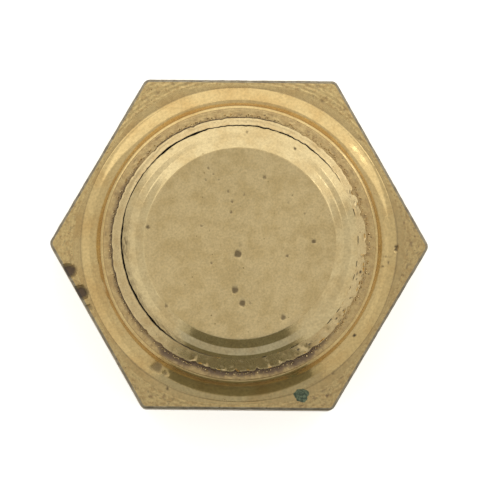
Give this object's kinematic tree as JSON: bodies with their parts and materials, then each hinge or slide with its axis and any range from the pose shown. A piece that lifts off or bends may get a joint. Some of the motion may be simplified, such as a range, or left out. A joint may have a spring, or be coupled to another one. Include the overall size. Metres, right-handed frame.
{
  "type": "swivel pipe cap",
  "caption": "Brass hexagon swivel cap that closes a threaded pipe end, with a freely turning blanking insert, retaining washer and flat fibre gasket.",
  "frame": {"origin": "centre of the nut's open rim, which is the bottom of the part", "axes": "+Z along the thread's axis and out of the closed end; +X through a corner of the hexagon; +Y square to a spanner flat"},
  "size_m": [0.0286, 0.025, 0.0194],
  "materials": {
    "nut_brass": "turned cove and rough forged corners, dulled",
    "insert_brass": "fine turned end, pitted and dulled",
    "washer_brass": "brown tarnish",
    "gasket_fibre": "red vulcanised fibre, pressed"
  },
  "bodies": {
    "nut": {"hex_nut": "nut_brass"},
    "insert": {"blanking_insert": "insert_brass", "retaining_washer": "washer_brass", "sealing_gasket": "gasket_fibre"}
  },
  "joints": [
    {"name": "insert_swivel", "type": "hinge", "parent": "nut", "child": "insert", "pos_m": [0, 0, 0.015], "axis": [0, 0, 1], "continuous": true}
  ]
}
